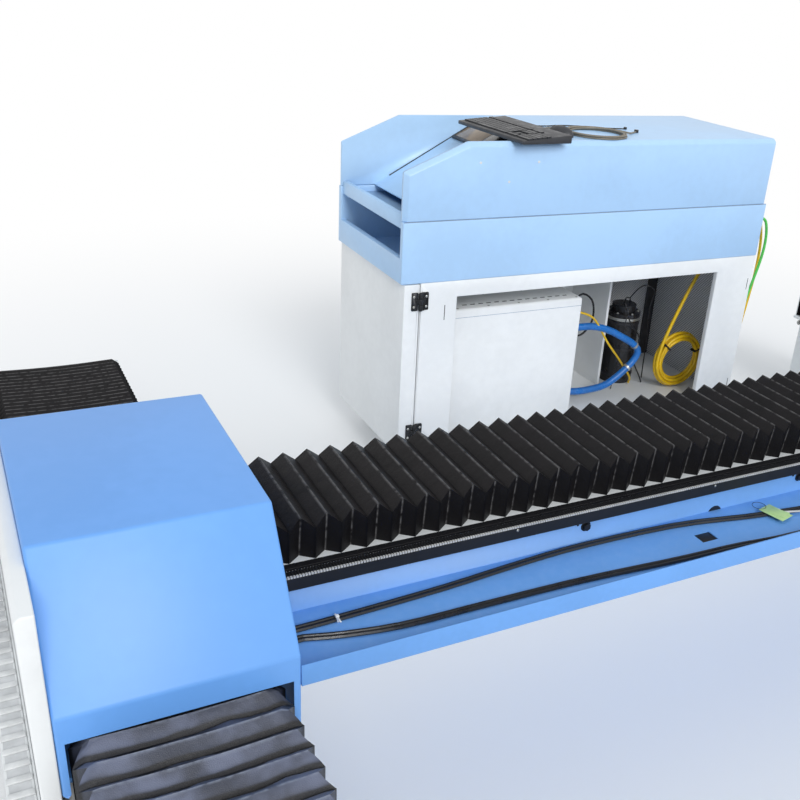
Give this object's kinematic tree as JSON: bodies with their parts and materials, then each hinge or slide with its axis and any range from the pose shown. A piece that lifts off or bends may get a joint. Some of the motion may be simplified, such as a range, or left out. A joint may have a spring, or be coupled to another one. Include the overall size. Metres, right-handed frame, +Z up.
{
  "type": "laser cutting machine",
  "caption": "Moving-gantry laser cutter: floor rails with pleated bellows, covered carriages, cross beam with a vertical cutting head, and a console with an open service bay.",
  "frame": {"origin": "on the floor, at the middle of the machine's ground rectangle", "axes": "+Z up, +X along the cross beam to the right, +Y along the floor rails from the operator's front end towards the console"},
  "size_m": [3.68, 4.141, 1.2203],
  "materials": {
    "blue": "light blue powder coat, satin",
    "white": "white powder coat, satin",
    "pleat": "coated black bellows cloth",
    "steel": "ground steel",
    "black": "black oxide",
    "plate": "milled",
    "motor": "black paint",
    "brass": "turned copper alloy",
    "grey": "matte grey",
    "hose": "blue hose",
    "yellow": "yellow jacket",
    "green": "green jacket",
    "jacket": "black jacket"
  },
  "bodies": {
    "base": {"left_rail_base": "white", "left_guide_rail": "steel", "left_rack": "black", "left_front_bellows": "pleat", "left_rear_bellows": "pleat", "right_rail_base": "white", "right_guide_rail": "steel", "right_rack": "black", "right_front_bellows": "pleat", "right_rear_bellows": "pleat", "console_base": "white", "console_ring": "blue", "console_top": "blue", "laser_source": "white", "chiller_pump": "jacket", "perforated_panel": "grey", "coolant_hose": "hose", "fibre_coil": "yellow", "keyboard": "grey", "mouse": "grey", "lead_coil": "jacket", "green_cable": "green", "yellow_cable": "yellow"},
    "gantry": {"left_carriage_plate": "plate", "left_guide_block": "steel", "left_drive": "motor", "left_cover": "blue", "left_side_guard": "white", "right_carriage_plate": "plate", "right_guide_block": "steel", "right_drive": "motor", "right_cover": "blue", "right_side_guard": "white", "cross_beam": "blue", "cable_tray": "blue", "beam_rack": "black", "beam_front_guide_rail": "steel", "beam_rear_guide_rail": "steel", "bellows_slide_strip": "white", "beam_left_bellows": "pleat", "beam_right_bellows": "pleat", "tray_cable_back_a": "jacket", "tray_cable_back_b": "jacket", "tray_cable_front_a": "jacket", "tray_cable_front_b": "jacket"},
    "left_pinion_body": {"left_pinion": "steel"},
    "right_pinion_body": {"right_pinion": "steel"},
    "saddle": {"head_saddle": "plate", "saddle_front_guide_block": "steel", "saddle_rear_guide_block": "steel", "saddle_drive": "motor", "saddle_cover": "blue", "vertical_motor": "motor"},
    "saddle_pinion_body": {"saddle_pinion": "steel"},
    "screw_body": {"vertical_screw": "steel"},
    "cutting_head": {"vertical_slide": "plate", "laser_head": "grey", "nozzle": "brass"},
    "door": {"console_door": "white"},
    "drawer": {"keyboard_drawer": "blue"}
  },
  "joints": [
    {"name": "gantry_slide", "type": "slide", "parent": "base", "child": "gantry", "axis": [0, 1, 0], "range_m": [-1.6, 0.4], "deforming": ["left_front_bellows", "left_rear_bellows", "right_front_bellows", "right_rear_bellows"]},
    {"name": "saddle_slide", "type": "slide", "parent": "gantry", "child": "saddle", "axis": [1, 0, 0], "range_m": [-1.45, 0.2], "deforming": ["beam_left_bellows", "beam_right_bellows"]},
    {"name": "head_slide", "type": "slide", "parent": "saddle", "child": "cutting_head", "axis": [0, 0, 1], "range_m": [-0.12, 0.08]},
    {"name": "left_pinion_spin", "type": "hinge", "parent": "gantry", "child": "left_pinion_body", "pos_m": [-1.463, 0.169, 0.411], "axis": [0, 0, 1], "range_deg": [-5400, 5400]},
    {"name": "right_pinion_spin", "type": "hinge", "parent": "gantry", "child": "right_pinion_body", "pos_m": [1.463, 0.169, 0.411], "axis": [0, 0, 1], "range_deg": [-5400, 5400]},
    {"name": "saddle_pinion_spin", "type": "hinge", "parent": "saddle", "child": "saddle_pinion_body", "pos_m": [0.659, 0.2344, 0.658], "axis": [0, 1, 0], "range_deg": [-5400, 5400]},
    {"name": "screw_spin", "type": "hinge", "parent": "saddle", "child": "screw_body", "pos_m": [0.659, -0.0225, 0.9], "axis": [0, 0, 1], "range_deg": [-5400, 5400]},
    {"name": "door_hinge", "type": "hinge", "parent": "base", "child": "door", "pos_m": [-0.4725, 1.5085, 0.4], "axis": [0, 0, 1], "range_deg": [0, 110]},
    {"name": "drawer_slide", "type": "slide", "parent": "base", "child": "drawer", "axis": [-1, 0, 0], "range_m": [0, 0.25]}
  ],
  "couplings": [
    {"joint": "left_pinion_spin", "follows": "gantry_slide", "rad_per_m": 55.556},
    {"joint": "right_pinion_spin", "follows": "gantry_slide", "rad_per_m": -55.556},
    {"joint": "saddle_pinion_spin", "follows": "saddle_slide", "rad_per_m": 55.556},
    {"joint": "screw_spin", "follows": "head_slide", "rad_per_m": 628.32}
  ]
}
